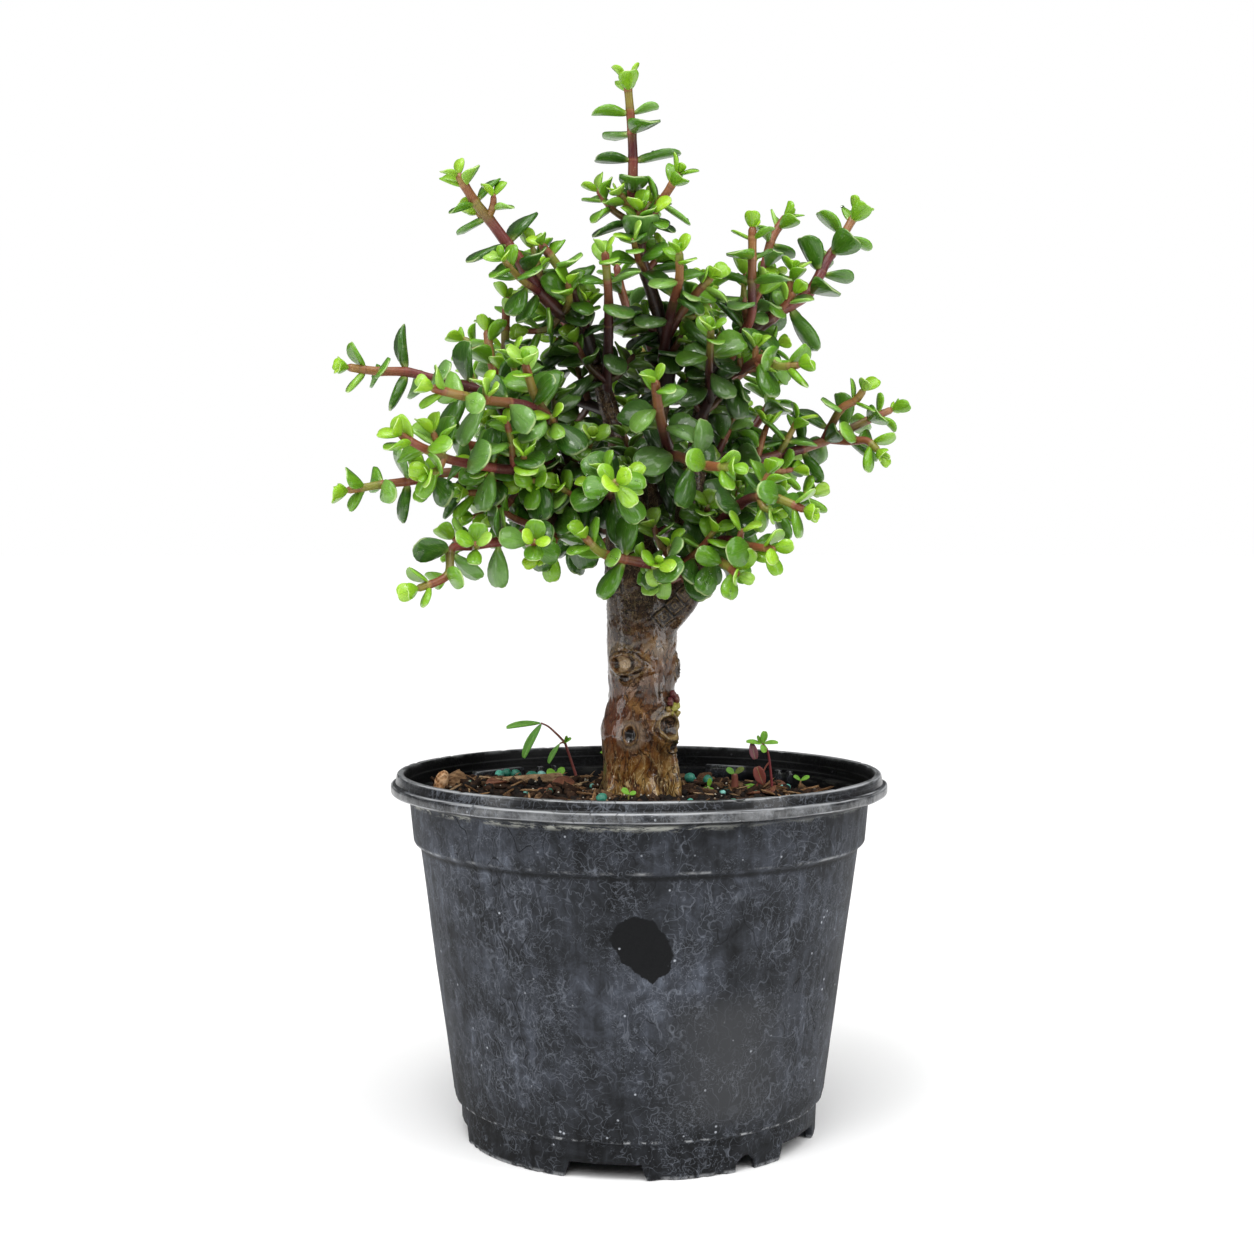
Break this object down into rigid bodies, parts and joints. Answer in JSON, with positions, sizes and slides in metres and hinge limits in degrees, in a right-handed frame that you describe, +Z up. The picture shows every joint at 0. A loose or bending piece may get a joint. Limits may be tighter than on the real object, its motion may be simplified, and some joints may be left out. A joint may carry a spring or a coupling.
{
  "type": "potted dwarf jade plant",
  "caption": "Dwarf jade plant with a thick woody trunk and a dense crown of fleshy green leaves, growing in a round weathered black nursery pot.",
  "frame": {"origin": "middle of the pot's foot, on the surface the pot stands on", "axes": "+Z up along the pot's axis and the trunk; -Y is the front, +X the viewer's right when facing the front"},
  "size_m": [0.1917, 0.167, 0.3539],
  "materials": {
    "pot_plastic": "weathered black nursery-pot plastic, hazed and scratched",
    "potting_mix": "loose dark bark and peat mix",
    "bark": "glossy brown bark with knots and scars",
    "leafy_shoot": "fleshy waxy green leaves on smooth red-brown stems",
    "wood_chip": "weathered bark chip",
    "dry_leaf": "dead brown leaf",
    "coated_prill": "resin-coated fertiliser bead",
    "seedling": "thin green seedling leaves and stems"
  },
  "bodies": {
    "root": {"pot": "pot_plastic", "potting_mix": "potting_mix", "trunk": "bark", "leader_shoot": "leafy_shoot", "upper_left_shoot": "leafy_shoot", "upper_centre_shoot": "leafy_shoot", "crown_right_shoot": "leafy_shoot", "right_high_shoot": "leafy_shoot", "right_front_shoot": "leafy_shoot", "right_far_shoot": "leafy_shoot", "right_low_shoot": "leafy_shoot", "front_right_shoot": "leafy_shoot", "front_crossing_shoot": "leafy_shoot", "front_upper_shoot": "leafy_shoot", "front_facing_shoot": "leafy_shoot", "left_high_shoot": "leafy_shoot", "left_front_shoot": "leafy_shoot", "left_upright_shoot": "leafy_shoot", "left_middle_shoot": "leafy_shoot", "left_long_shoot": "leafy_shoot", "left_near_shoot": "leafy_shoot", "left_low_shoot": "leafy_shoot", "back_shoot_1": "leafy_shoot", "back_shoot_2": "leafy_shoot", "back_shoot_3": "leafy_shoot", "back_shoot_4": "leafy_shoot", "back_shoot_5": "leafy_shoot", "back_shoot_6": "leafy_shoot", "back_shoot_7": "leafy_shoot", "back_shoot_8": "leafy_shoot", "back_shoot_9": "leafy_shoot", "back_shoot_10": "leafy_shoot", "back_shoot_11": "leafy_shoot", "bark_chip_1": "wood_chip", "bark_chip_2": "wood_chip", "wood_sliver": "wood_chip", "bark_chip_3": "wood_chip", "bark_chip_4": "wood_chip", "bark_chip_5": "wood_chip", "bark_chip_6": "wood_chip", "fallen_leaf": "dry_leaf", "fertiliser_prill_1": "coated_prill", "fertiliser_prill_2": "coated_prill", "fertiliser_prill_3": "coated_prill", "fertiliser_prill_4": "coated_prill", "fertiliser_prill_5": "coated_prill", "fertiliser_prill_6": "coated_prill", "slender_seedling": "seedling", "red_seedling": "seedling", "small_sprout": "seedling"}
  },
  "joints": []
}
